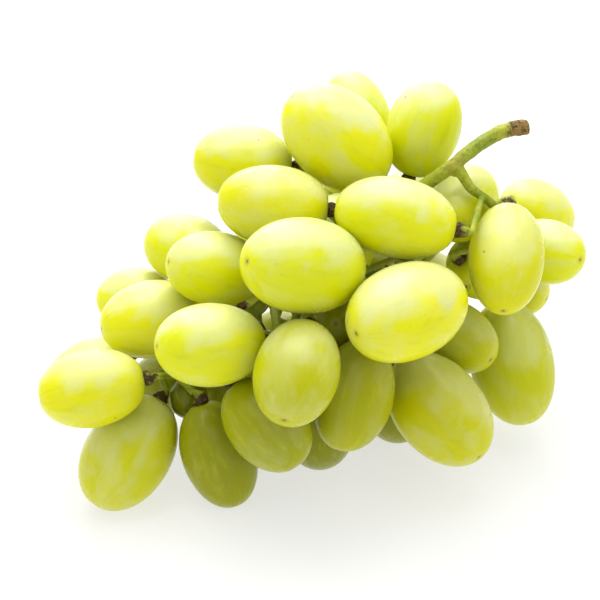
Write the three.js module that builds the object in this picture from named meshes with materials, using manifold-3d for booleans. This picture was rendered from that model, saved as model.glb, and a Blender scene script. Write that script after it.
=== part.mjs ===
// A bunch of oval green table grapes, as picked and laid on its side.
// Each grape is a solid of its own, and the branching stalk that carries them is one more.
// Millimetres. +Z is up and the bunch rests on Z = 0, +X runs along the bunch from its tip to the cut stalk,
// and the origin is under the middle of the bunch.
import * as THREE from "three";
import { mergeVertices } from "three/addons/utils/BufferGeometryUtils.js";
import Module from "manifold-3d";

const wasm = await Module();
wasm.setup();

// ---- Driving dimensions ----
const AIR = 0.45; // clear space between neighbours, which only just don't touch
const STALK_AIR = 0.65; // the same round a stalk
const PRESSED_FLAT = 0.3; // how deep a grape's underside is pressed flat where it rests
const RESTS_WITHIN = 2.5; // a grape whose underside is this close to the surface rests on it
const GRAPE_SIDES = 12; // faces round a grape's girth
const GRAPE_RINGS = 8; // faces from a grape's stalk end to its blossom end
const BLUNTNESS = 0.94; // 1 would give a grape the ends of a true ellipse, and less makes them blunter
const SETTLING_ROUNDS = 400; // rounds in which the grapes shoulder each other aside

const STALK_RADIUS = 1.85; // main stalk near the cut end
const STALK_TIP_RADIUS = 1.0; // main stalk at the far end of the bunch
const ARM_RADIUS = 1.25; // side branch where it leaves the main stalk
const ARM_TIP_RADIUS = 0.85;
const BRANCH_SWELL = 0.5; // how much thicker a side branch is right where it leaves
const BRANCH_SWELL_LENGTH = 5;
const PEDICEL_RADIUS = 0.75; // little stalk of one grape
const COLLAR_RADIUS = 2.1; // swollen end of the little stalk, which meets the grape
const COLLAR_LENGTH = 1.5;
const STALK_REACH = 3.5; // the little stalk leaves the grape straight for this far
const STEP = 3.6; // length of one straight piece of the main stalk or of a side branch
const TWIG_STEP = 3.4; // and of a little stalk
const CUT_END_POINTS = 8; // the main stalk keeps this many points of its route, from the cut end past the fork
const FORK_POINTS = 3; // and so does the other half of the fork
const BARE_POINTS = 6; // no grape hangs on the first points of the main stalk
const THREADING_ROUNDS = 150; // rounds in which a stalk slides between the grapes
const THREADING_PULL = 0.25; // share of the way to the middle of its neighbours that a point slides each round
const STALK_SIDES = 8; // faces round the main stalk
const ARM_SIDES = 6;
const PEDICEL_SIDES = 5;

const SMOOTHING = 0.08; // slivers thinner than this are taken out of the stalk's joints

const BALLS = 5; // balls that stand for a grape while the grapes settle
const STALK_BALLS = 9; // and while the stalk is threaded between them

const STALK_COLOUR = 0x7f9a1c;
const GRAPE_COLOUR = 0xd3d62a;

const degrees = THREE.MathUtils.degToRad;
const up = new THREE.Vector3(0, 0, 1);

// ---- The grapes ----
// x, y, z is a grape's middle. heading and pitch, in degrees, say where its blossom end points: heading is
// counted from +X towards +Y, and pitch is above the horizon. Then come its width and its length.
function grape(x, y, z, heading, pitch, width, length) {
  const middle = new THREE.Vector3(x, y, z);
  const points = new THREE.Vector3(
    Math.cos(degrees(heading)) * Math.cos(degrees(pitch)),
    Math.sin(degrees(heading)) * Math.cos(degrees(pitch)),
    Math.sin(degrees(pitch)),
  );
  return { middle, points, width, length };
}

const grapes = [
  // Top of the bunch
  grape(12, 2, 87, 155, 45, 24, 33),
  grape(29.5, 21, 85.5, 110, 55, 16.5, 24.5),
  grape(37.5, 0, 86, 5, 70, 19.5, 26),
  grape(-7.5, 18, 78.5, 150, 5, 20, 26.5),
  grape(-9.5, -3.5, 74.5, 150, 5, 20.5, 28.5),
  // Front, upper row
  grape(14, -25, 74, 147, 10, 20, 31),
  grape(-13, -26, 66, -174, 17, 23.5, 34),
  grape(7, -43, 57, -168, -2, 23.5, 34),
  grape(39.5, -37.5, 62.5, -126, -35, 19, 31),
  // Shoulder by the stalk
  grape(76, -1, 55, -165, 32, 18.5, 28),
  grape(66.5, -18.5, 52, -73, 5, 17.5, 23),
  grape(42, -14, 69, 38, 20, 17.5, 24),
  grape(47, -16.5, 50.5, 15, -30, 17.5, 22),
  // Left flank
  grape(-24, 20, 56, 117, 0, 18.5, 25),
  grape(-25, -1, 59, 173, 17, 19, 26),
  grape(-36, 28.5, 41, 150, -10, 16, 21),
  grape(-40, 7, 44, 173, 0, 20, 27),
  // Tip
  grape(-54, 18, 27, 163, -23, 17, 24),
  grape(-61, -3, 34, 163, -6, 19.5, 27),
  grape(-51, -4, 13, -157, -40, 22.5, 32),
  grape(-33, -14, 13, -73, -64, 19, 28.5),
  // Front, lower row
  grape(-36, -21, 48, 175, 8, 20.5, 28),
  grape(-22, -40, 47, -132, -27, 20.5, 28),
  grape(-25.5, -30, 28.5, -64, -38, 19.5, 26),
  grape(-2, -31, 31, -150, -61, 19.5, 29),
  grape(23, -35, 22.5, -79, -27, 23.5, 34),
  grape(55.5, -21.5, 21.5, -91, -62, 23, 35),
  grape(37.5, -20, 34.5, -76, -15, 17.5, 24),
  grape(67, -5, 36, -60, -10, 16, 20),
  // Underside
  grape(-2, -16, 13, 62, -66, 19, 28),
  grape(24.5, -12, 12.5, 62, -70, 20, 27),
  grape(-33, 3, 22, -118, -8, 10, 12),
  grape(-32, 18, 17, 102, -32, 17.5, 24),
  grape(-17, 7, 18, 150, -60, 18, 25),
  grape(-16, -12, 30, -100, -50, 18, 25),
  grape(3, -14, 42, -118, 25, 18, 24),
  // Middle
  grape(17.5, 9.5, 56, 70, 20, 19, 26),
  grape(39, 8, 59, 40, 10, 19, 25),
  grape(39, 3, 39, 15, -15, 19, 25),
  grape(19, 18, 35.5, 100, -20, 19, 26),
  // Back, upper row
  grape(31, 31, 70, 70, 25, 19, 27),
  grape(7, 30, 55.5, 105, 15, 19.5, 27),
  grape(26, 34, 51, 80, 0, 19, 27),
  grape(50, 26, 53, 55, 5, 20, 27),
  grape(70, 14, 43, 50, -5, 18, 25),
  // Back, lower row
  grape(-16.5, 26, 36.5, 120, -5, 18.5, 25),
  grape(1, 38, 37, 100, -10, 19, 26),
  grape(40, 24, 35, 70, -20, 20, 27),
  // Underside, at the back
  grape(-10.5, 33, 11, 120, -30, 19, 26),
  grape(5, 14, 12, 110, -65, 19, 26),
  grape(26, 10, 12, 60, -70, 19, 26),
  grape(50, 8, 14, 30, -60, 19, 26),
  grape(12, 36, 13, 95, -35, 19, 26),
  grape(34, 33, 14, 70, -40, 19, 26),
];

// The balls that fill a grape from end to end. A ball of radius b * sqrt(1 - s * s / (a * a - b * b)) at s along
// the axis just fits inside an oval of half-lengths a and b.
function ballsOf({ middle, points, width, length }, count = BALLS) {
  const a = length / 2;
  const b = width / 2;
  const farthest = (a * a - b * b) / a;
  return Array.from({ length: count }, (_, i) => {
    const along = farthest * ((2 * i) / (count - 1) - 1);
    return {
      centre: middle.clone().addScaledVector(points, along),
      radius: b * Math.sqrt(1 - (along * along) / (a * a - b * b)),
    };
  });
}

// The same for the collar and the first of the little stalk that meet it.
function stalkBallsOf({ middle, points, length }) {
  return [
    { centre: middle.clone().addScaledVector(points, -length / 2 - COLLAR_LENGTH / 2), radius: COLLAR_RADIUS },
    { centre: middle.clone().addScaledVector(points, -length / 2 - STALK_REACH), radius: PEDICEL_RADIUS },
  ];
}

// How far the middle of a tilted grape stands above its own lowest point.
function standing({ points, width, length }) {
  return Math.hypot((length / 2) * points.z, (width / 2) * Math.hypot(points.x, points.y));
}

// Half of the push that frees two sets of balls from each other, or null where they are clear.
function push(one, other) {
  let deepest = 0;
  let way = null;
  for (const p of one) {
    for (const q of other) {
      const apart = p.centre.clone().sub(q.centre);
      const overlap = p.radius + q.radius + AIR - apart.length();
      if (overlap > deepest) {
        deepest = overlap;
        way = apart.setLength(overlap / 2);
      }
    }
  }
  return way;
}

// Grapes shoulder each other aside until none overlap, and those near the surface sink on to it.
function settle(rounds) {
  for (let round = 0; round < rounds; round++) {
    grapes.forEach((one, i) => {
      for (const other of grapes.slice(i + 1)) {
        if (one.middle.distanceTo(other.middle) > one.length / 2 + other.length / 2 + 2 * STALK_REACH) continue;
        const pairs = [
          [ballsOf(one), ballsOf(other)],
          [stalkBallsOf(one), ballsOf(other)],
          [ballsOf(one), stalkBallsOf(other)],
        ];
        for (const [mine, theirs] of pairs) {
          const way = push(mine, theirs);
          if (!way) continue;
          one.middle.add(way);
          other.middle.sub(way);
        }
      }
    });
    for (const one of grapes) {
      const resting = standing(one) - PRESSED_FLAT;
      if (one.middle.z < resting + RESTS_WITHIN) one.middle.z = resting;
    }
  }
}
settle(SETTLING_ROUNDS);

// A turned oval, a little blunter than an ellipse, standing on its stalk end at -length / 2.
function grapeGeometry({ width, length }) {
  const profile = [];
  for (let i = 0; i <= GRAPE_RINGS; i++) {
    const angle = (Math.PI * i) / GRAPE_RINGS;
    const girth = i % GRAPE_RINGS === 0 ? 0 : Math.pow(Math.sin(angle), BLUNTNESS);
    profile.push(new THREE.Vector2((width / 2) * girth, (-length / 2) * Math.cos(angle)));
  }
  const turned = new THREE.LatheGeometry(profile, GRAPE_SIDES);
  return turned.rotateX(Math.PI / 2);
}

// ---- The stalk ----
const at = (x, y, z) => new THREE.Vector3(x, y, z);

// The main stalk, from its cut end, through the fork, and down the middle of the bunch.
const mainRoute = [
  at(55, -22, 90.5),
  at(50, -20, 90),
  at(46, -18.5, 88),
  at(40, -18, 85),
  at(35, -17.5, 81.5),
  at(30, -14, 77),
  at(26, -7, 69),
  at(16, -4, 62),
  at(4, -3, 56),
  at(-8, -3, 49),
  at(-19, -3, 43),
  at(-30, 0, 36),
  at(-40, 3, 30),
];

// Side branches, each from the point of the main stalk that it leaves.
const armRoutes = [
  // Shoulder: the right half of the fork, then its twigs
  [
    at(35, -17.5, 81.5),
    at(37.5, -21.5, 78),
    at(38.5, -23.5, 74.5),
    at(39.5, -25, 71),
    at(41.5, -24.5, 67),
    at(44, -25, 62),
    at(46, -27, 54),
    at(49, -27, 44),
  ],
  [at(44, -25, 63), at(52, -22, 60), at(58, -16, 58), at(61, -9, 54)],
  [at(61, -9, 54), at(64, 2, 50), at(72, 5, 47), at(79, 6, 46)],
  // Top
  [at(28, -10, 73), at(26, -2, 76), at(23, 8, 76)],
  [at(16, -4, 62), at(10, -7, 68), at(3, -4, 72)],
  [at(10, -7, 68), at(8, 4, 70), at(5, 12, 72)],
  // Front
  [at(16, -4, 62), at(18, -16, 59), at(20, -27, 60)],
  [at(-8, -3, 49), at(-14, -14, 49), at(-18, -22, 47)],
  // Left flank and tip
  [at(-8, -3, 49), at(-13, 4, 52), at(-17, 10, 50)],
  [at(-30, 0, 36), at(-34, 8, 34), at(-40, 14, 32)],
  [at(-36, 2, 32), at(-38, 0, 26), at(-34, -4, 26)],
  // Underside
  [at(4, -3, 56), at(3, -6, 42), at(0, -14, 30)],
  [at(26, -7, 69), at(27, -8, 52), at(24, -12, 34)],
  // Back
  [at(16, -4, 62), at(10, 8, 56), at(6, 18, 48), at(6, 24, 38), at(6, 26, 26)],
  [at(26, -7, 69), at(30, 6, 62), at(32, 18, 56), at(36, 22, 52)],
  [at(30, 6, 62), at(30, 12, 48), at(30, 18, 30)],
  [at(-8, -3, 49), at(-7, 8, 40), at(-8, 18, 30)],
];

const obstacles = grapes.flatMap((one) => ballsOf(one, STALK_BALLS));

// Moves a point of a stalk out of every grape it is in.
function free(point, radius) {
  for (const ball of obstacles) {
    const out = point.clone().sub(ball.centre);
    const reach = ball.radius + radius + STALK_AIR;
    if (out.length() < reach) point.copy(ball.centre).add(out.setLength(reach));
  }
}

// Splits a route into even steps, then lets it slide between the grapes: each point is drawn to the middle of its
// neighbours and kept out of the grapes. `fixed` points at its start and `held` at its end stay where they are.
function threaded(route, radius, step, fixed, held) {
  const curve = new THREE.CatmullRomCurve3(route, false, "centripetal");
  const steps = Math.max(3, Math.round(curve.getLength() / step));
  const points = curve.getSpacedPoints(steps);
  for (let round = 0; round < THREADING_ROUNDS; round++) {
    for (let i = fixed; i < points.length - held; i++) {
      if (i < points.length - 1) {
        const between = points[i - 1].clone().add(points[i + 1]).multiplyScalar(0.5);
        points[i].lerp(between, THREADING_PULL);
      }
      free(points[i], radius);
    }
  }
  return points;
}

// A closed tube along points, whose radius is radiusAt(share of its length).
function tube(points, radiusAt, sides) {
  const curve = new THREE.CatmullRomCurve3(points, false, "centripetal");
  const steps = points.length - 1;
  const frames = curve.computeFrenetFrames(steps, false);
  const geometry = new THREE.CylinderGeometry(1, 1, 1, sides, steps);
  const position = geometry.getAttribute("position");
  for (let i = 0; i < position.count; i++) {
    const share = THREE.MathUtils.clamp(position.getY(i) + 0.5, 0, 1);
    const step = Math.round(share * steps);
    const radius = radiusAt(share);
    const moved = curve
      .getPointAt(share)
      .addScaledVector(frames.binormals[step], position.getX(i) * radius)
      .addScaledVector(frames.normals[step], position.getZ(i) * radius);
    position.setXYZ(i, moved.x, moved.y, moved.z);
  }
  return geometry;
}

function solidFrom(geometry) {
  const bare = geometry.clone().deleteAttribute("normal").deleteAttribute("uv");
  const merged = mergeVertices(bare, 1e-4);
  const mesh = new wasm.Mesh({
    numProp: 3,
    vertProperties: merged.getAttribute("position").array,
    triVerts: new Uint32Array(merged.index.array),
  });
  return new wasm.Manifold(mesh);
}

function geometryFrom(solid) {
  const { vertProperties, triVerts } = solid.getMesh();
  const geometry = new THREE.BufferGeometry();
  geometry.setAttribute("position", new THREE.BufferAttribute(vertProperties, 3));
  geometry.setIndex(new THREE.BufferAttribute(triVerts, 1));
  return geometry;
}

const taper = (from, to) => (share) => THREE.MathUtils.lerp(from, to, share);

// The point of a stalk that is nearest to a place.
function nearestOf(points, place) {
  return points.reduce((best, point) => (place.distanceTo(point) < place.distanceTo(best) ? point : best));
}

const mainPoints = threaded(mainRoute, STALK_RADIUS, STEP, CUT_END_POINTS, 0);
const stalkPoints = [...mainPoints];
const armPoints = armRoutes.map(([start, ...rest], i) => {
  const fixed = i === 0 ? FORK_POINTS : 1;
  const points = threaded([nearestOf(stalkPoints, start), ...rest], ARM_RADIUS, STEP, fixed, 0);
  stalkPoints.push(...points.slice(1));
  return points;
});
const carriers = stalkPoints.slice(BARE_POINTS);

// The way of one grape's little stalk, from its collar to the nearest point of the main stalk or of a side branch.
function pedicelRoute({ middle, points, length }) {
  const foot = middle.clone().addScaledVector(points, -length / 2 - AIR);
  const straight = foot.clone().addScaledVector(points, -STALK_REACH);
  return threaded([foot, straight, nearestOf(carriers, straight)], PEDICEL_RADIUS, TWIG_STEP, 2, 1);
}

function pedicel(one) {
  const route = pedicelRoute(one);
  const run = new THREE.CatmullRomCurve3(route).getLength();
  const radiusAt = (share) => {
    const swell = Math.max(0, 1 - (share * run) / (COLLAR_LENGTH * 2));
    return PEDICEL_RADIUS + (COLLAR_RADIUS - PEDICEL_RADIUS) * swell;
  };
  return tube(route, radiusAt, PEDICEL_SIDES);
}

function arm(points) {
  const run = new THREE.CatmullRomCurve3(points).getLength();
  const slender = taper(ARM_RADIUS, ARM_TIP_RADIUS);
  const radiusAt = (share) => slender(share) + BRANCH_SWELL * Math.max(0, 1 - (share * run) / BRANCH_SWELL_LENGTH);
  return tube(points, radiusAt, ARM_SIDES);
}

function stalk() {
  const pieces = [
    tube(mainPoints, taper(STALK_RADIUS, STALK_TIP_RADIUS), STALK_SIDES),
    ...armPoints.map(arm),
    ...grapes.map(pedicel),
  ];
  return geometryFrom(wasm.Manifold.union(pieces.map(solidFrom)).simplify(SMOOTHING));
}

// ---- The bunch ----
const bunch = new THREE.Group();

const stalkMesh = new THREE.Mesh(
  stalk(),
  new THREE.MeshStandardMaterial({ color: STALK_COLOUR, roughness: 0.6, metalness: 0 }),
);
stalkMesh.name = "stalk";
bunch.add(stalkMesh);

grapes.forEach((one, i) => {
  const turned = new THREE.Quaternion().setFromUnitVectors(up, one.points);
  const geometry = grapeGeometry(one).applyQuaternion(turned).translate(...one.middle);
  const whole = solidFrom(geometry);
  const below = new THREE.BoxGeometry(2 * one.length, 2 * one.length, one.length)
    .translate(one.middle.x, one.middle.y, -one.length / 2);
  const mesh = new THREE.Mesh(
    geometryFrom(whole.subtract(solidFrom(below))),
    new THREE.MeshStandardMaterial({ color: GRAPE_COLOUR, roughness: 0.35, metalness: 0 }),
  );
  mesh.name = `grape_${String(i + 1).padStart(2, "0")}`;
  bunch.add(mesh);
});

// The origin goes under the middle of the bunch.
const middleOfAll = new THREE.Box3().setFromObject(bunch).getCenter(new THREE.Vector3());
bunch.position.set(-middleOfAll.x, -middleOfAll.y, 0);

export default bunch;
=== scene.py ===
from math import cos, pi, radians, sin

import bpy
import numpy as np
from bpy.props import FloatProperty, FloatVectorProperty, IntProperty, PointerProperty
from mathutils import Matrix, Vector, noise


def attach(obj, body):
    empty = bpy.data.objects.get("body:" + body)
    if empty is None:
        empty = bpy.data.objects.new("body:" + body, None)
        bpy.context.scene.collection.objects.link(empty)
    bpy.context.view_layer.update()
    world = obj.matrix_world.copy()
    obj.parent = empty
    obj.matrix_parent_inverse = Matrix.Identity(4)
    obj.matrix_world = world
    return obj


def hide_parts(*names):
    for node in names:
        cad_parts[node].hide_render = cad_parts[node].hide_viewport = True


bl_info = {
    "name": "Bunch of Green Grapes",
    "version": (1, 0, 0),
    "blender": (4, 5, 0),
    "location": "3D View > Sidebar > Grapes",
    "description": "Skins a bunch of oval green table grapes and its stalk, and lights them on a white table",
    "category": "Object",
}

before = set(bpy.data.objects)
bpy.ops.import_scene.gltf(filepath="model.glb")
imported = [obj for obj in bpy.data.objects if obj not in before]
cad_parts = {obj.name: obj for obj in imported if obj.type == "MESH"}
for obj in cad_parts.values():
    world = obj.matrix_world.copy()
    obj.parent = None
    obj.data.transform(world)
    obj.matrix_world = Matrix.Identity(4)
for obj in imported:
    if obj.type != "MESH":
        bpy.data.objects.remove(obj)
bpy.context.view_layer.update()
GRAPE_NODES = sorted(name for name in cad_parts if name.startswith("grape_"))
STALK_NODE = "stalk"
MM = 0.001

# By their numbers: how much darker the skin is painted as shade on the grapes deep in the bunch, and the grapes
# with the most bloom.
PAINTED_SHADE = {
    4: 0.08, 5: 0.14, 9: 0.22, 17: 0.08, 19: 0.06, 20: 0.28, 21: 0.8, 23: 0.45, 24: 0.72, 25: 0.6, 26: 0.33,
    27: 0.32, 28: 0.42, 29: 0.2, 30: 0.88, 31: 0.86, 32: 1.0, 33: 0.8, 34: 0.8, 35: 0.8, 36: 0.9, 49: 0.6,
    50: 0.6, 51: 0.6, 52: 0.6, 53: 0.6, 54: 0.6,
}
DUSTY = (1, 2, 3, 4, 8, 10, 11, 20, 23, 24, 26)

# Smaller colours of the skin and of the bark.
PALE_VEIN = (0.76, 0.77, 0.05, 1.0)
DEEP_VEIN = (0.42, 0.46, 0.001, 1.0)
NECK = (0.40, 0.47, 0.01, 1.0)
PORE = (0.45, 0.37, 0.06, 1.0)
HALO = (0.45, 0.36, 0.05, 1.0)
RUSSET = (0.26, 0.19, 0.05, 1.0)
LIGHT_BARK = (0.42, 0.44, 0.03, 1.0)
LENTICEL = (0.55, 0.52, 0.18, 1.0)
PALE_CORK = (0.42, 0.27, 0.09, 1.0)
WHITE = (1.0, 1.0, 1.0, 1.0)

# The turned form of a grape.
BLUNTNESS = 0.94  # 1 would be the end of a true ellipse
END_RINGS = 0.07  # how much closer the rings lie near the two ends
TAPER = 0.03  # most by which one end may be wider than the other, as a share
BEND = 0.5 * MM  # most by which a grape bows to one side
STEM_DIMPLE_RADIUS = 2.1 * MM
BLOSSOM_DIMPLE = 0.28 * MM
BLOSSOM_DIMPLE_RADIUS = 1.1 * MM
TABLE_GAP = 0.02 * MM  # a grape stays this far above the table
PRESS_REACH = 2.0 * MM  # grapes farther apart than this can't press on each other
GRAPE_SEED = 5

# The stalk.
SMOOTHING_ROUNDS = 6
CUT_ROUGHNESS = 0.35 * MM
CUT_RADIUS = 3.0 * MM
BELOW_CUT = 0.97  # share of the stalk's points that lie lower than its cut end
CORKY_REACH = 3.6 * MM  # how far the cork of a collar spreads along its little stalk
COLLAR_SIDES = 26
COLLAR_SEED = 1000  # the grape's number is added to it
CHARRED_SEED = 8

# The stage: the table's half width, the heights over the horizon between which the room's light turns into
# the ceiling's, and where each square lamp hangs and how wide it is.
TABLE_REACH = 3.0
ROOM_ENDS = radians(10.0)
CEILING_STARTS = radians(55.0)
TOP_LAMP_AT = (0.04, 0.13, 0.66)
TOP_LAMP_WIDTH = 0.52
BACK_LAMP_AT = (0.20, 0.62, 0.48)
BACK_LAMP_WIDTH = 0.55


# ---- Settings ----


class GrapeSettings(bpy.types.PropertyGroup):
    """Shape and skin of every grape."""

    lumps: FloatProperty(
        name="Lumps", description="How far a grape strays from a true oval, as a share of its width",
        default=0.012, min=0.0, max=0.05,
    )
    stem_dimple: FloatProperty(
        name="Stem dimple", description="Depth of the hollow that the stalk's collar sits in",
        default=0.7 * MM, unit="LENGTH",
    )
    squeeze_gap: FloatProperty(
        name="Gap where pressed", description="Space left between two grapes that press on each other",
        default=0.06 * MM, unit="LENGTH",
    )
    swell: FloatProperty(
        name="Swell", description="How much each grape fills out towards its neighbours",
        default=0.15 * MM, unit="LENGTH",
    )
    sides: IntProperty(name="Sides", description="Faces round a grape's girth", default=56, min=12)
    rings: IntProperty(name="Rings", description="Faces from stalk end to blossom end", default=48, min=12)
    green: FloatVectorProperty(
        name="Green skin", description="Skin of the least ripe grapes",
        subtype="COLOR", size=4, default=(0.67, 0.715, 0.002, 1.0), min=0.0, max=1.0,
    )
    gold: FloatVectorProperty(
        name="Golden skin", description="Skin of the ripest grapes",
        subtype="COLOR", size=4, default=(0.79, 0.775, 0.002, 1.0), min=0.0, max=1.0,
    )
    # Painted shade: the dark skin colour painted on grapes that sit in shade deep inside the bunch.
    painted_shade_skin: FloatVectorProperty(
        name="Shaded skin", description="Skin of the grapes that hung deep inside the bunch",
        subtype="COLOR", size=4, default=(0.19, 0.205, 0.001, 1.0), min=0.0, max=1.0,
    )
    # Also the colour of the highlight painted on the tops of the grapes.
    bloom: FloatVectorProperty(
        name="Bloom", description="The pale waxy bloom",
        subtype="COLOR", size=4, default=(0.67, 0.71, 0.47, 1.0), min=0.0, max=1.0,
    )
    scar: FloatVectorProperty(
        name="Scar", description="Corky specks and the scar at the blossom end",
        subtype="COLOR", size=4, default=(0.13, 0.085, 0.02, 1.0), min=0.0, max=1.0,
    )
    depth: FloatProperty(
        name="Light depth", description="How far light travels inside the flesh",
        default=8.0 * MM, unit="LENGTH",
    )


class StalkSettings(bpy.types.PropertyGroup):
    """Shape and bark of the stalk and of its collars."""

    grain: FloatProperty(
        name="Grain", description="Size of the cells that the stalk is rebuilt from",
        default=0.34 * MM, unit="LENGTH",
    )
    knobs: FloatProperty(
        name="Knobs", description="Height of the bumps along the stalk",
        default=0.16 * MM, unit="LENGTH",
    )
    fullness: FloatProperty(
        name="Fullness", description="How much the stalk is thickened over its frame",
        default=0.24 * MM, unit="LENGTH",
    )
    fork: FloatVectorProperty(
        name="Fork", description="Middle of the web of bark in the crook of the fork",
        subtype="TRANSLATION", default=(0.0273, -0.0160, 0.0812),
    )
    fork_web: FloatProperty(
        name="Fork web", description="Radius of that web", default=2.1 * MM, unit="LENGTH",
    )
    collar_radius: FloatProperty(
        name="Collar radius", description="Widest radius of the warty collar behind a grape",
        default=1.95 * MM, unit="LENGTH",
    )
    collar_length: FloatProperty(
        name="Collar length", description="Length of the warty collar behind a grape",
        default=3.0 * MM, unit="LENGTH",
    )
    cut_cork: FloatProperty(
        name="Corky end", description="Length of stalk that has dried brown at the cut",
        default=8.5 * MM, unit="LENGTH",
    )
    green: FloatVectorProperty(
        name="Green bark", description="Bark of the young stalk",
        subtype="COLOR", size=4, default=(0.26, 0.33, 0.012, 1.0), min=0.0, max=1.0,
    )
    shade: FloatVectorProperty(
        name="Dark bark", description="Bark in the grooves",
        subtype="COLOR", size=4, default=(0.09, 0.13, 0.012, 1.0), min=0.0, max=1.0,
    )
    cork: FloatVectorProperty(
        name="Cork", description="Dried brown bark at the cut and on the collars",
        subtype="COLOR", size=4, default=(0.29, 0.175, 0.045, 1.0), min=0.0, max=1.0,
    )
    burnt: FloatVectorProperty(
        name="Dark cork", description="The darkest cork, in cracks and between warts",
        subtype="COLOR", size=4, default=(0.06, 0.035, 0.009, 1.0), min=0.0, max=1.0,
    )


class StageSettings(bpy.types.PropertyGroup):
    """Table, lamps and camera."""

    camera_azimuth: FloatProperty(
        name="Azimuth", description="Side the camera looks from, counted from the front",
        subtype="ANGLE", default=radians(-28.0),
    )
    camera_elevation: FloatProperty(
        name="Elevation", description="How far the camera looks down",
        subtype="ANGLE", default=radians(25.0),
    )
    camera_distance: FloatProperty(
        name="Distance", description="From the camera to the middle of the bunch",
        default=0.42, unit="LENGTH",
    )
    camera_lens: FloatProperty(name="Lens", description="Focal length in millimetres", default=94.0)
    aim: FloatVectorProperty(
        name="Aim", description="What the camera looks at, from the middle of the bunch's foot",
        subtype="TRANSLATION", default=(-0.0086, 0.0021, 0.044),
    )
    table: FloatVectorProperty(
        name="Table", description="Colour of the table",
        subtype="COLOR", size=4, default=(0.33, 0.33, 0.325, 1.0), min=0.0, max=1.0,
    )
    table_glow: FloatProperty(
        name="Table glow", description="Light that the white table gives of its own", default=0.64, min=0.0,
    )
    room: FloatProperty(name="Room light", description="Light from the sides", default=0.70, min=0.0)
    sky: FloatProperty(name="Ceiling light", description="Light from the ceiling", default=1.0, min=0.0)
    top_lamp: FloatProperty(
        name="Top lamp", description="Power of the large soft lamp overhead, in watts", default=3.5, min=0.0,
    )
    back_lamp: FloatProperty(
        name="Back lamp", description="Power of the soft lamp behind the bunch, in watts", default=2.2, min=0.0,
    )


# ---- Shader trees written as expressions ----


class Wire:
    """An output socket of a shader tree. Arithmetic on it adds Math nodes."""

    def __init__(self, shader, socket):
        self.shader = shader
        self.socket = socket

    def _math(self, operation, *values):
        sockets = dict(enumerate(values))
        return self.shader.node("ShaderNodeMath", {"operation": operation}, sockets)[0]

    def __add__(self, other):
        return self._math("ADD", self, other)

    def __radd__(self, other):
        return self._math("ADD", other, self)

    def __sub__(self, other):
        return self._math("SUBTRACT", self, other)

    def __rsub__(self, other):
        return self._math("SUBTRACT", other, self)

    def __mul__(self, other):
        return self._math("MULTIPLY", self, other)

    def __rmul__(self, other):
        return self._math("MULTIPLY", other, self)

    def clamped(self):
        return self._math("MINIMUM", self._math("MAXIMUM", self, 0.0), 1.0)

    def between(self, low, high):
        """0 below low, 1 above high, and a smooth step between them. low may be the larger."""
        settings = {"interpolation_type": "SMOOTHSTEP"}
        if low <= high:
            return self.shader.node("ShaderNodeMapRange", settings, {0: self, 1: low, 2: high})[0]
        return self.shader.node(
            "ShaderNodeMapRange", settings, {0: self, 1: high, 2: low, 3: 1.0, 4: 0.0}
        )[0]


class Outputs:
    """The output sockets of one node, by name or by place."""

    def __init__(self, shader, node):
        self.shader = shader
        self.node = node

    def __getitem__(self, key):
        return Wire(self.shader, self.node.outputs[key])


class Shader:
    """The node tree of a material, or of the world, built from its shader node outwards."""

    def __init__(self, owner, shader_node="Principled BSDF"):
        owner.use_nodes = True
        self.owner = owner
        self.tree = owner.node_tree
        self.surface = self.tree.nodes[shader_node]

    def node(self, kind, settings=None, sockets=None):
        """Adds a node. Its settings are set first, then its sockets, by name or place, to values or wires."""
        node = self.tree.nodes.new(kind)
        for key, value in (settings or {}).items():
            setattr(node, key, value)
        for key, value in (sockets or {}).items():
            self.plug(node.inputs[key], value)
        return Outputs(self, node)

    def plug(self, socket, value):
        if isinstance(value, Wire):
            self.tree.links.new(value.socket, socket)
        else:
            socket.default_value = value

    def constant(self, **values):
        """Numbers and colours that are the same all over the surface."""
        for key, value in values.items():
            self.surface.inputs[key.replace("_", " ")].default_value = value

    def vary(self, name, wire):
        """A socket of the shader node that changes from place to place."""
        self.plug(self.surface.inputs[name], wire)

    def mix(self, share, first, second):
        """A colour between two others."""
        settings = {"data_type": "RGBA", "clamp_factor": True}
        return self.node("ShaderNodeMix", settings, {0: share, 6: first, 7: second})[2]

    def place(self):
        """Position in the piece's own frame, in metres."""
        return self.node("ShaderNodeTexCoord")["Object"]

    def attribute(self, name, output="Fac"):
        return self.node("ShaderNodeAttribute", {"attribute_name": name})[output]

    def scaled(self, vector, factors):
        return self.node("ShaderNodeVectorMath", {"operation": "MULTIPLY"}, {0: vector, 1: factors})[0]

    def shifted(self, vector, wire, along=(13.7, 7.1, 3.3)):
        """The vector moved by a different amount for each value of the wire."""
        step = self.node("ShaderNodeVectorMath", {"operation": "SCALE"}, {0: along, "Scale": wire})[0]
        return self.node("ShaderNodeVectorMath", {"operation": "ADD"}, {0: vector, 1: step})[0]

    def clouds(self, vector, scale, detail=2.0, roughness=0.5, distortion=0.0):
        sockets = {
            "Vector": vector, "Scale": scale, "Detail": detail,
            "Roughness": roughness, "Distortion": distortion,
        }
        return self.node("ShaderNodeTexNoise", None, sockets)["Fac"]

    def cells(self, vector, scale, randomness=1.0):
        """Distance to the middle of the nearest cell, and a number that is the cell's own."""
        sockets = {"Vector": vector, "Scale": scale, "Randomness": randomness}
        found = self.node("ShaderNodeTexVoronoi", {"feature": "F1"}, sockets)
        own = self.node("ShaderNodeSeparateColor", None, {"Color": found["Color"]})["Red"]
        return found["Distance"], own

    def bump(self, height, strength, distance):
        sockets = {"Height": height, "Strength": strength, "Distance": distance}
        self.vary("Normal", self.node("ShaderNodeBump", None, sockets)["Normal"])


# ---- Mesh helpers ----


def vertices_of(mesh):
    flat = np.zeros(len(mesh.vertices) * 3)
    mesh.vertices.foreach_get("co", flat)
    return flat.reshape(-1, 3)


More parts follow.
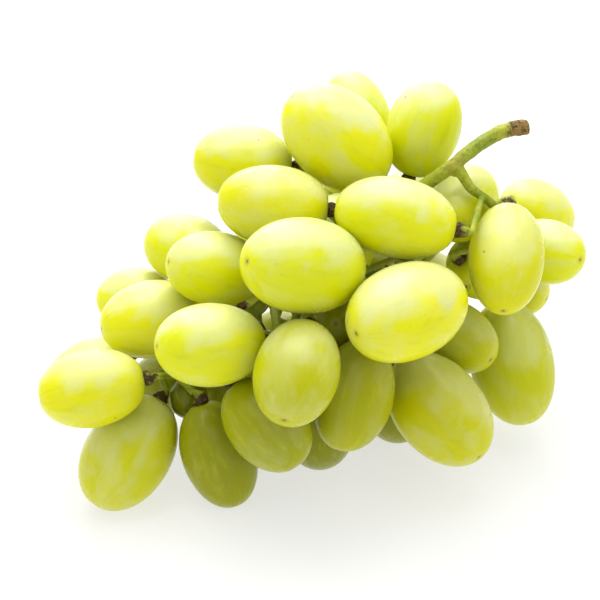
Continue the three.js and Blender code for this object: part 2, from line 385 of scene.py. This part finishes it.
def triangles_of(mesh):
    mesh.calc_loop_triangles()
    flat = np.zeros(len(mesh.loop_triangles) * 3, dtype=np.int64)
    mesh.loop_triangles.foreach_get("vertices", flat)
    return flat.reshape(-1, 3)


def write_attribute(mesh, name, values):
    attribute = mesh.attributes.new(name, "FLOAT", "POINT")
    attribute.data.foreach_set("value", np.asarray(values, dtype=np.float32))


def mesh_object(name, points, faces, material):
    mesh = bpy.data.meshes.new(name)
    mesh.from_pydata([tuple(p) for p in points], [], faces)
    mesh.update()
    mesh.polygons.foreach_set("use_smooth", np.ones(len(mesh.polygons), dtype=bool))
    mesh.materials.append(material)
    piece = bpy.data.objects.new(name, mesh)
    bpy.context.scene.collection.objects.link(piece)
    return piece


def revolved_faces(rings, sides):
    """Faces of a closed turned form: a first pole, rings of vertices, and a last pole."""
    faces = []
    for side in range(sides):
        faces.append((0, 1 + (side + 1) % sides, 1 + side))
    for ring in range(rings - 1):
        start = 1 + ring * sides
        for side in range(sides):
            after = (side + 1) % sides
            faces.append((start + side, start + after, start + sides + after, start + sides + side))
    last = 1 + rings * sides
    start = last - sides
    for side in range(sides):
        faces.append((start + side, start + (side + 1) % sides, last))
    return faces


def frame_along(axis):
    """A rotation that turns +Z on to an axis."""
    return np.array(Vector((0.0, 0.0, 1.0)).rotation_difference(Vector(axis)).to_matrix())


def noise_at(points, scale, seed):
    """Smooth noise between about -1 and 1 at each point."""
    offset = Vector((seed * 17.3, seed * 5.9, seed * 11.1))
    return np.array([noise.noise(Vector(p) * scale + offset) for p in points])


# ---- Grapes ----


def middle_and_axis(mesh):
    """The centre of a closed solid and its longest axis, summed over the tetrahedra under its faces."""
    points = vertices_of(mesh)
    start = points.mean(0)
    corners = points[triangles_of(mesh)] - start
    a, b, c = corners[:, 0], corners[:, 1], corners[:, 2]
    volumes = np.einsum("ij,ij->i", a, np.cross(b, c)) / 6.0
    total = a + b + c
    centre = (volumes[:, None] * total).sum(0) / 4.0 / volumes.sum()
    spread = sum(
        np.einsum("i,ij,ik->jk", volumes, part, part) for part in (total, a, b, c)
    ) / 20.0
    spread -= volumes.sum() * np.outer(centre, centre)
    return start + centre, np.linalg.eigh(spread)[1][:, 2]


class Grape:
    """A CAD grape's middle, its axis towards the blossom end, and its half length and half width."""

    def __init__(self, name, stalk_points):
        self.name = name
        self.number = int(name.split("_")[1])
        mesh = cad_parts[name].data
        self.middle, axis = middle_and_axis(mesh)
        offsets = vertices_of(mesh) - self.middle
        along = offsets @ axis
        self.half_length = np.abs(along).max()
        self.half_width = np.linalg.norm(offsets - np.outer(along, axis), axis=1).max()
        poles = [self.middle + sign * self.half_length * axis for sign in (-1.0, 1.0)]
        reach = [np.linalg.norm(stalk_points - pole, axis=1).min() for pole in poles]
        self.axis = axis if reach[0] < reach[1] else -axis
        self.stem_pole = self.middle - self.half_length * self.axis

    def depth_of(self, points):
        """Rough distance of points outside the oval, negative inside it."""
        offsets = points - self.middle
        along = offsets @ self.axis
        across = np.linalg.norm(offsets - np.outer(along, self.axis), axis=1)
        level = np.hypot(along / self.half_length, across / self.half_width)
        steepness = np.hypot(along / self.half_length**2, across / self.half_width**2)
        return level * (level - 1.0) / np.maximum(steepness, 1e-9)


def all_grapes():
    """Every grape of the bunch, each with its stem end found from the stalk."""
    stalk_points = vertices_of(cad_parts[STALK_NODE].data)
    return [Grape(name, stalk_points) for name in GRAPE_NODES]


def grape_surface(settings, grape):
    """Points of a grape in its own frame, +Z towards the blossom end."""
    rings, sides = settings.rings, settings.sides
    random = np.random.default_rng(grape.number)
    tilt = random.uniform(-TAPER, TAPER)
    bend = random.uniform(-BEND, BEND)
    turn = random.uniform(0.0, 2.0 * pi)
    points = []
    for ring in range(rings + 2):
        share = ring / (rings + 1)
        angle = pi * (share - END_RINGS * sin(2.0 * pi * share))
        radius = grape.half_width * abs(sin(angle)) ** BLUNTNESS * (1.0 + tilt * cos(angle))
        height = -grape.half_length * cos(angle)
        height += settings.stem_dimple * np.exp(-((radius / STEM_DIMPLE_RADIUS) ** 2)) * (cos(angle) > 0)
        height -= BLOSSOM_DIMPLE * np.exp(-((radius / BLOSSOM_DIMPLE_RADIUS) ** 2)) * (cos(angle) < 0)
        if ring in (0, rings + 1):
            points.append((0.0, 0.0, height))
            continue
        lean = bend * sin(angle) ** 2
        for side in range(sides):
            around = 2.0 * pi * side / sides
            x = radius * cos(around) + lean * cos(turn)
            y = radius * sin(around) + lean * sin(turn)
            points.append((x, y, height))
    points = np.array(points)
    directions = points / np.array([grape.half_width, grape.half_width, grape.half_length])
    lumps = noise_at(directions, 1.25, grape.number) + 0.4 * noise_at(directions, 2.9, grape.number + 71)
    points[:, :2] *= (1.0 + settings.lumps * lumps)[:, None]
    return points


def press(settings, grape, points, others):
    """Flattens a grape where its neighbours, or the table, touch it."""
    inward = grape.middle - points
    inward /= np.linalg.norm(inward, axis=1)[:, None]
    points = points - inward * settings.swell
    reach = grape.half_length + PRESS_REACH
    for other in others:
        if np.linalg.norm(other.middle - grape.middle) > reach + other.half_length:
            continue
        overlap = settings.squeeze_gap + settings.swell - other.depth_of(points)
        push = np.where(overlap > 0.0, 0.5 * overlap + 0.5 * settings.squeeze_gap, 0.0)
        points = points + inward * push[:, None]
    points[:, 2] = np.maximum(points[:, 2], TABLE_GAP)
    return points


def write_looks(mesh, grape, local, turn, random):
    """Writes what the skin's material reads: where each point is on the grape, and what this grape is like."""
    grown = mesh.attributes.new("grown", "FLOAT_VECTOR", "POINT")
    grown.data.foreach_set("vector", local.astype(np.float32).ravel())
    count = len(local)
    write_attribute(mesh, "seed", np.full(count, random.uniform(0.0, 1.0)))
    write_attribute(mesh, "ripeness", np.full(count, random.uniform(0.15, 0.85)))
    dust = random.uniform(0.25, 0.75) + 0.4 * (grape.number in DUSTY)
    write_attribute(mesh, "dust", np.full(count, min(dust, 1.0)))
    # How far each point faces up: where the highlight is painted on the top of the grape.
    outward = local / np.array([grape.half_width, grape.half_width, grape.half_length]) ** 2
    outward = (outward / np.linalg.norm(outward, axis=1)[:, None]) @ turn.T
    write_attribute(mesh, "painted_top_highlight", outward[:, 2])
    # How much darker this grape's skin is painted, as shade deep inside the bunch.
    shade = PAINTED_SHADE.get(grape.number, 0.0)
    write_attribute(mesh, "shade", np.full(count, shade))
    pole = np.array([0.0, 0.0, grape.half_length])
    write_attribute(mesh, "from_stem", np.linalg.norm(local + pole, axis=1))
    write_attribute(mesh, "from_blossom", np.linalg.norm(local - pole, axis=1))


def grape_skin(settings):
    skin = Shader(bpy.data.materials.new("grape skin"))
    seed = skin.attribute("seed")
    grown = skin.attribute("grown", "Vector")
    place = skin.shifted(grown, seed)
    ripeness = skin.attribute("ripeness")
    shade = skin.attribute("shade")
    dust = skin.attribute("dust")
    stem = skin.attribute("from_stem")
    blossom = skin.attribute("from_blossom")

    broad = skin.clouds(place, 60.0, 2.0)
    ripe = (ripeness + (broad - 0.5) * 0.7).clamped()
    colour = skin.mix(ripe, tuple(settings.green), tuple(settings.gold))
    # Painted shade: the grapes deep inside the bunch are painted darker.
    colour = skin.mix(shade, colour, tuple(settings.painted_shade_skin))

    around = skin.scaled(grown, (1.0, 1.0, 0.0))
    around = skin.node("ShaderNodeVectorMath", {"operation": "NORMALIZE"}, {0: around})[0]
    lengthwise = skin.scaled(grown, (0.0, 0.0, 30.0))
    streaks = skin.node("ShaderNodeVectorMath", {"operation": "ADD"}, {0: around, 1: lengthwise})[0]
    veins = skin.clouds(skin.shifted(streaks, seed), 5.5, 4.0, 0.6)
    colour = skin.mix(veins.between(0.48, 0.78) * 0.22, colour, PALE_VEIN)
    colour = skin.mix(veins.between(0.5, 0.25) * 0.20, colour, DEEP_VEIN)

    patches = skin.clouds(skin.scaled(place, (1.0, 1.0, 0.6)), 125.0, 2.0, 0.45, 0.5).between(0.42, 0.62)
    rubbed = skin.clouds(skin.scaled(place, (1.0, 1.0, 0.45)), 260.0, 4.0, 0.65).between(0.38, 0.62)
    bloom = patches * (0.35 + rubbed * 0.65) * dust
    colour = skin.mix(bloom * (0.38 - shade * 0.28), colour, tuple(settings.bloom))

    # Painted highlight: the tops of the grapes, where the lamps fall, are painted paler in the bloom colour,
    # less so on grapes with painted shade.
    drifts = skin.clouds(place, 92.0, 2.0, 0.5, 0.6) - 0.5
    painted_top_highlight = (skin.attribute("painted_top_highlight") + drifts * 1.25).between(0.33, 0.76)
    colour = skin.mix(painted_top_highlight * (0.52 - shade * 0.8), colour, tuple(settings.bloom))

    pale_neck = stem.between(6.5 * MM, 2.0 * MM)
    colour = skin.mix(pale_neck * 0.35, colour, NECK)

    spot, own = skin.cells(place, 170.0)
    specks = spot.between(0.075, 0.035) * own.between(0.80, 0.82)
    fine_spot, fine_own = skin.cells(place, 420.0)
    pores = fine_spot.between(0.17, 0.07) * fine_own.between(0.6, 0.62)
    colour = skin.mix(pores * 0.16, colour, PORE)
    colour = skin.mix(specks * 0.75, colour, tuple(settings.scar))

    ragged = skin.clouds(place, 1500.0, 2.0) * 0.5 * MM
    tip = (blossom + ragged).between(0.95 * MM, 0.5 * MM)
    halo = (blossom + ragged).between(2.0 * MM, 0.9 * MM)
    colour = skin.mix(halo * 0.3, colour, HALO)
    colour = skin.mix(tip * 0.7, colour, tuple(settings.scar))
    russet = (stem + ragged * 3.0).between(3.4 * MM, 2.2 * MM)
    colour = skin.mix(russet * 0.55, colour, RUSSET)
    skin.vary("Base Color", colour)

    grain = skin.clouds(place, 900.0, 3.0)
    rough = 0.24 + bloom * 0.14 + (grain - 0.5) * 0.10 + (specks + tip).clamped() * 0.3
    skin.vary("Roughness", rough.clamped())
    # The coat follows the same masks: thicker under the painted highlight on the tops, thinner on grapes with
    # painted shade.
    skin.vary("Coat Weight", ((0.2 + painted_top_highlight * 0.8) * (1.0 - shade * 0.6)).clamped())
    height = grain * 0.25 + skin.clouds(place, 210.0, 2.0) * 0.6 + veins * 0.5 - specks * 0.4 - tip * 0.8
    skin.bump(height, 0.10, 0.12 * MM)
    skin.constant(
        Subsurface_Weight=1.0, Subsurface_Radius=(1.0, 0.95, 0.22), Subsurface_Scale=settings.depth,
        IOR=1.4, Specular_IOR_Level=0.2, Coat_Roughness=0.38, Coat_IOR=1.5,
    )
    return skin.owner


class BUNCH_OT_grapes(bpy.types.Operator):
    """Skins every grape of the bunch"""

    bl_idname = "bunch.grapes"
    bl_label = "Grapes"

    def execute(self, context):
        settings = context.scene.bunch_grapes
        skin = grape_skin(settings)
        faces = revolved_faces(settings.rings, settings.sides)
        grapes = all_grapes()
        random = np.random.default_rng(GRAPE_SEED)
        for grape in grapes:
            local = grape_surface(settings, grape)
            turn = frame_along(grape.axis)
            others = [other for other in grapes if other is not grape]
            pressed = press(settings, grape, local @ turn.T + grape.middle, others)
            local = (pressed - grape.middle) @ turn
            piece = mesh_object(f"berry_{grape.number:02d}", pressed, faces, skin)
            write_looks(piece.data, grape, local, turn, random)
            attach(piece, "root")
            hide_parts(grape.name)
        return {"FINISHED"}


# ---- Stalk and collars ----


def bark(settings):
    skin = Shader(bpy.data.materials.new("stalk bark"))
    place = skin.place()
    cork = skin.attribute("cork")
    wide = skin.clouds(place, 160.0, 3.0)
    fine = skin.clouds(place, 900.0, 4.0, 0.65)
    colour = skin.mix(wide.between(0.35, 0.7), tuple(settings.green), LIGHT_BARK)
    colour = skin.mix(fine.between(0.52, 0.3) * 0.6, colour, tuple(settings.shade))
    spot, own = skin.cells(place, 620.0)
    lenticels = spot.between(0.24, 0.12) * own.between(0.55, 0.6)
    colour = skin.mix(lenticels * 0.4, colour, LENTICEL)
    blush = skin.clouds(place, 75.0, 2.0).between(0.58, 0.72)
    colour = skin.mix(blush * 0.3, colour, tuple(settings.cork))

    crust, crust_own = skin.cells(place, 1500.0)
    charred = skin.attribute("charred")
    blotches = skin.clouds(place, 700.0, 4.0, 0.6)
    dark = (blotches + charred * 0.35 + (crust - 0.4) * 0.4).between(0.42, 0.72)
    corky = skin.mix(dark, tuple(settings.cork), tuple(settings.burnt))
    corky = skin.mix(crust_own.between(0.75, 1.0) * 0.4, corky, PALE_CORK)
    covered = (cork + (skin.clouds(place, 420.0, 4.0, 0.6) - 0.5) * 1.3).between(0.38, 0.56)
    colour = skin.mix(covered, colour, corky)
    skin.vary("Base Color", colour)
    skin.vary("Roughness", (0.42 + covered * 0.35 + (fine - 0.5) * 0.2).clamped())
    skin.bump(fine * 0.6 + lenticels * 0.5 + (blotches - crust) * covered, 0.6, 0.25 * MM)
    skin.constant(
        Subsurface_Weight=0.35, Subsurface_Radius=(1.0, 0.9, 0.3), Subsurface_Scale=0.8 * MM,
        IOR=1.45, Specular_IOR_Level=0.4,
    )
    return skin.owner


def with_web(points, faces, centre, radius):
    """The mesh with a ball added to it, which fills the crook of the fork."""
    rings, sides = 9, 16
    ball = [(0.0, 0.0, -1.0)]
    for ring in range(1, rings + 1):
        angle = pi * ring / (rings + 1)
        for side in range(sides):
            around = 2.0 * pi * side / sides
            ball.append((sin(angle) * cos(around), sin(angle) * sin(around), -cos(angle)))
    ball.append((0.0, 0.0, 1.0))
    extra = [tuple(len(points) + corner for corner in face) for face in revolved_faces(rings, sides)]
    return np.concatenate([points, np.array(ball) * radius + np.array(centre)]), faces + extra


def rebuilt(context, piece, cell):
    """A new mesh round all that is in the piece, made of even cells, in which parts that overlap are one."""
    remesh = piece.modifiers.new("grow", "REMESH")
    remesh.mode = "VOXEL"
    remesh.voxel_size = cell
    context.view_layer.update()
    mesh = bpy.data.meshes.new_from_object(piece.evaluated_get(context.evaluated_depsgraph_get()))
    piece.modifiers.clear()
    return mesh


def smoothed(points, edges, rounds, shrink, grow):
    """Evens out a mesh without thinning it: each round shrinks it a little and grows it back."""
    first, second = edges[:, 0], edges[:, 1]
    count = np.bincount(first, minlength=len(points)) + np.bincount(second, minlength=len(points))
    for _ in range(rounds):
        for step in (shrink, -grow):
            total = np.zeros_like(points)
            np.add.at(total, first, points[second])
            np.add.at(total, second, points[first])
            points = points + step * (total / count[:, None] - points)
    return points


def cut_end_of(stalk_points):
    """The middle of the cut, which is the stalk's end that stands clear above the grapes."""
    high = stalk_points[stalk_points[:, 2] > np.quantile(stalk_points[:, 2], BELOW_CUT)]
    farthest = high[np.argmax(high[:, 0])]
    near = high[np.linalg.norm(high - farthest, axis=1) < CUT_RADIUS]
    return near.mean(0)


def collar_profile(settings):
    """Radius and distance from the grape, from inside the dimple to where the little stalk is slim again."""
    wide, long = settings.collar_radius, settings.collar_length
    return [
        (0.45 * wide, -0.28 * long), (0.86 * wide, -0.16 * long), (1.0 * wide, 0.06 * long),
        (0.98 * wide, 0.18 * long), (0.84 * wide, 0.32 * long), (0.70 * wide, 0.46 * long),
        (0.58 * wide, 0.62 * long), (0.48 * wide, 0.80 * long), (0.40 * wide, 0.98 * long),
    ]


def collar_points(settings, grape):
    profile = collar_profile(settings)
    turn = frame_along(-grape.axis)
    random = np.random.default_rng(COLLAR_SEED + grape.number)
    size = random.uniform(0.88, 1.08)
    points = [(0.0, 0.0, profile[0][1])]
    for radius, height in profile:
        for side in range(COLLAR_SIDES):
            around = 2.0 * pi * side / COLLAR_SIDES
            points.append((radius * size * cos(around), radius * size * sin(around), height))
    points.append((0.0, 0.0, profile[-1][1]))
    points = np.array(points)
    outward = points.copy()
    outward[:, 2] = 0.0
    warts = np.abs(noise_at(points, 1100.0, grape.number)) + 0.6 * noise_at(points, 2300.0, grape.number)
    points += outward * (0.32 * warts)[:, None]
    return points @ turn.T + grape.stem_pole


class BUNCH_OT_stalk(bpy.types.Operator):
    """Rebuilds the stalk as one grown form with swollen joints and rough bark"""

    bl_idname = "bunch.stalk"
    bl_label = "Stalk"

    def execute(self, context):
        settings = context.scene.bunch_stalk
        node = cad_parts[STALK_NODE]
        faces = [tuple(int(corner) for corner in face) for face in triangles_of(node.data)]
        points, faces = with_web(vertices_of(node.data), faces, settings.fork, settings.fork_web)
        piece = mesh_object("stalk_bark", points, faces, bark(settings))
        mesh = rebuilt(context, piece, settings.grain)
        piece.data = mesh
        edges = np.array([edge.vertices[:] for edge in mesh.edges])
        points = smoothed(vertices_of(mesh), edges, SMOOTHING_ROUNDS, shrink=0.5, grow=0.42)
        mesh.vertices.foreach_set("co", points.ravel())
        mesh.update()
        normals = np.array([vertex.normal[:] for vertex in mesh.vertices])
        bumps = noise_at(points, 330.0, seed=3) + 0.5 * noise_at(points, 900.0, seed=4)
        points = points + normals * (settings.knobs * bumps + settings.fullness)[:, None]

        cut = cut_end_of(points)
        from_cut = np.linalg.norm(points - cut, axis=1)
        knob = np.clip(1.0 - from_cut / settings.cut_cork, 0.0, 1.0)
        rough = noise_at(points, 700.0, seed=9)
        points = points + normals * (CUT_ROUGHNESS * knob * (rough + 0.2))[:, None]
        cork = np.clip(1.35 * knob, 0.0, 1.0)
        for grape in all_grapes():
            near = np.linalg.norm(points - grape.stem_pole, axis=1)
            cork = np.maximum(cork, np.clip(1.2 - near / CORKY_REACH, 0.0, 1.0))
        mesh.vertices.foreach_set("co", points.ravel())
        mesh.update()
        mesh.polygons.foreach_set("use_smooth", np.ones(len(mesh.polygons), dtype=bool))
        write_attribute(mesh, "cork", cork)
        write_attribute(mesh, "charred", np.where(knob > 0.0, 0.0, 0.8))
        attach(piece, "root")
        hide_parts(STALK_NODE)
        return {"FINISHED"}


class BUNCH_OT_collars(bpy.types.Operator):
    """Adds the warty collar that holds each grape"""

    bl_idname = "bunch.collars"
    bl_label = "Collars"

    def execute(self, context):
        settings = context.scene.bunch_stalk
        rings = len(collar_profile(settings))
        per_collar = 2 + rings * COLLAR_SIDES
        points, faces = [], []
        for order, grape in enumerate(all_grapes()):
            points.append(collar_points(settings, grape))
            for face in revolved_faces(rings, COLLAR_SIDES):
                faces.append(tuple(order * per_collar + corner for corner in face))
        piece = mesh_object("collars", np.concatenate(points), faces, bark(settings))
        ring_of = np.clip((np.arange(per_collar) - 1) // COLLAR_SIDES, 0, rings - 1)
        cork = np.tile(np.clip(1.25 - ring_of / (rings - 1.0), 0.0, 1.0), len(GRAPE_NODES))
        write_attribute(piece.data, "cork", cork)
        random = np.random.default_rng(CHARRED_SEED)
        charred = random.uniform(0.2, 1.0, len(GRAPE_NODES))
        write_attribute(piece.data, "charred", np.repeat(charred, per_collar))
        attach(piece, "root")
        return {"FINISHED"}


# ---- Stage ----


def table_material(settings):
    shader = Shader(bpy.data.materials.new("white table"))
    shader.constant(
        Base_Color=tuple(settings.table), Roughness=0.6, Specular_IOR_Level=0.25,
        Emission_Color=WHITE, Emission_Strength=settings.table_glow,
    )
    return shader.owner


def white_room(settings):
    """A world that is brighter towards the ceiling."""
    room = Shader(bpy.data.worlds.new("white room"), "Background")
    direction = room.node("ShaderNodeTexCoord")["Generated"]
    height = room.node("ShaderNodeSeparateXYZ", None, {"Vector": direction})["Z"]
    sockets = {
        "Value": height, "From Min": sin(ROOM_ENDS), "From Max": sin(CEILING_STARTS),
        "To Min": settings.room, "To Max": settings.sky,
    }
    strength = room.node("ShaderNodeMapRange", {"interpolation_type": "SMOOTHSTEP"}, sockets)["Result"]
    room.vary("Strength", strength)
    room.constant(Color=WHITE)
    return room.owner


def soft_lamp(name, place, aim, size, power):
    lamp = bpy.data.lights.new(name, "AREA")
    lamp.shape = "SQUARE"
    lamp.size = size
    lamp.energy = power
    item = bpy.data.objects.new(name, lamp)
    item.location = place
    item.rotation_euler = (Vector(aim) - Vector(place)).to_track_quat("-Z", "Y").to_euler()
    bpy.context.scene.collection.objects.link(item)


class BUNCH_OT_stage(bpy.types.Operator):
    """Lays the white table, hangs the soft lamps and sets up the camera"""

    bl_idname = "bunch.stage"
    bl_label = "Stage"

    def execute(self, context):
        settings = context.scene.bunch_stage
        reach = TABLE_REACH
        corners = [(-reach, -reach, 0.0), (reach, -reach, 0.0), (reach, reach, 0.0), (-reach, reach, 0.0)]
        table = mesh_object("table", corners, [(0, 1, 2, 3)], table_material(settings))

        context.scene.world = white_room(settings)

        aim = Vector(settings.aim)
        soft_lamp("top lamp", TOP_LAMP_AT, aim, TOP_LAMP_WIDTH, settings.top_lamp)
        soft_lamp("back lamp", BACK_LAMP_AT, aim, BACK_LAMP_WIDTH, settings.back_lamp)

        azimuth, elevation = settings.camera_azimuth, settings.camera_elevation
        back = Vector((sin(azimuth) * cos(elevation), -cos(azimuth) * cos(elevation), sin(elevation)))
        lens = bpy.data.cameras.new("camera")
        lens.lens = settings.camera_lens
        lens.sensor_width = 36.0
        lens.clip_start = 0.01
        camera = bpy.data.objects.new("camera", lens)
        camera.location = aim + back * settings.camera_distance
        camera.rotation_euler = (-back).to_track_quat("-Z", "Y").to_euler()
        context.scene.collection.objects.link(camera)
        context.scene.camera = camera
        context.scene.view_settings.view_transform = "Standard"
        return {"FINISHED"}


# ---- Add-on ----


class BUNCH_PT_panel(bpy.types.Panel):
    """Lists what makes up the bunch"""

    bl_idname = "BUNCH_PT_panel"
    bl_label = "Bunch of Grapes"
    bl_space_type = "VIEW_3D"
    bl_region_type = "UI"
    bl_category = "Grapes"

    def draw(self, context):
        scene = context.scene
        groups = (
            (scene.bunch_grapes, (BUNCH_OT_grapes,)),
            (scene.bunch_stalk, (BUNCH_OT_stalk, BUNCH_OT_collars)),
            (scene.bunch_stage, (BUNCH_OT_stage,)),
        )
        for settings, operators in groups:
            box = self.layout.box()
            for name in settings.bl_rna.properties.keys():
                if name not in ("rna_type", "name"):
                    box.prop(settings, name)
            for operator in operators:
                box.operator(operator.bl_idname)


CLASSES = (
    GrapeSettings, StalkSettings, StageSettings,
    BUNCH_OT_grapes, BUNCH_OT_stalk, BUNCH_OT_collars, BUNCH_OT_stage,
    BUNCH_PT_panel,
)


def register():
    for cls in CLASSES:
        bpy.utils.register_class(cls)
    bpy.types.Scene.bunch_grapes = PointerProperty(type=GrapeSettings)
    bpy.types.Scene.bunch_stalk = PointerProperty(type=StalkSettings)
    bpy.types.Scene.bunch_stage = PointerProperty(type=StageSettings)


def unregister():
    del bpy.types.Scene.bunch_stage
    del bpy.types.Scene.bunch_stalk
    del bpy.types.Scene.bunch_grapes
    for cls in reversed(CLASSES):
        bpy.utils.unregister_class(cls)


def main():
    register()
    bpy.ops.bunch.stage()
    bpy.ops.bunch.grapes()
    bpy.ops.bunch.stalk()
    bpy.ops.bunch.collars()


if __name__ == "__main__":
    main()
